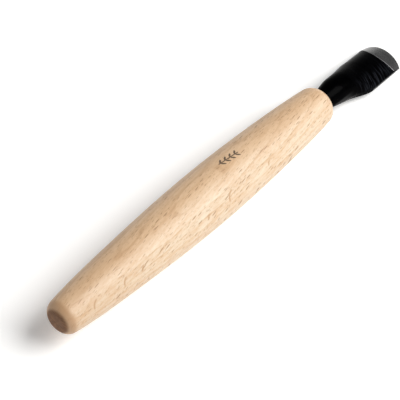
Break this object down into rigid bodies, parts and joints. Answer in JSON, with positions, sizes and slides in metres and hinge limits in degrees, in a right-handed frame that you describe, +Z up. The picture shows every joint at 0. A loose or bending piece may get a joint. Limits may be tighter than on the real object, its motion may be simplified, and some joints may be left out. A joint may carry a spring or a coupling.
{
  "type": "lino cutter",
  "caption": "Gouge for cutting lino and wood blocks: turned barrel-shaped handle with a fixed forged blade, hollow below and ground to an arched cutting edge.",
  "frame": {"origin": "on the surface that the tool rests on, under the middle of its bounding box", "axes": "+X from the butt of the handle towards the cutting edge, +Z up, with the blade's hollow facing down; the tool lies as it comes to rest, rocked forward on its belly, so its own axis dips about 2.6 degrees towards +X"},
  "size_m": [0.2026, 0.024, 0.0254],
  "materials": {
    "beech": "pale beech, turned and fine-sanded, left almost matt, with ray flecks and fine pores",
    "forged_iron": "black forge scale, smooth and half-glossy, with faint hammering across the blade",
    "ground_steel": "hardened steel, ground to a fine satin grey",
    "glue": "set amber glue"
  },
  "bodies": {
    "root": {"handle": "beech", "blade_body": "forged_iron", "cutting_steel": "ground_steel", "tang_glue": "glue"}
  },
  "joints": []
}
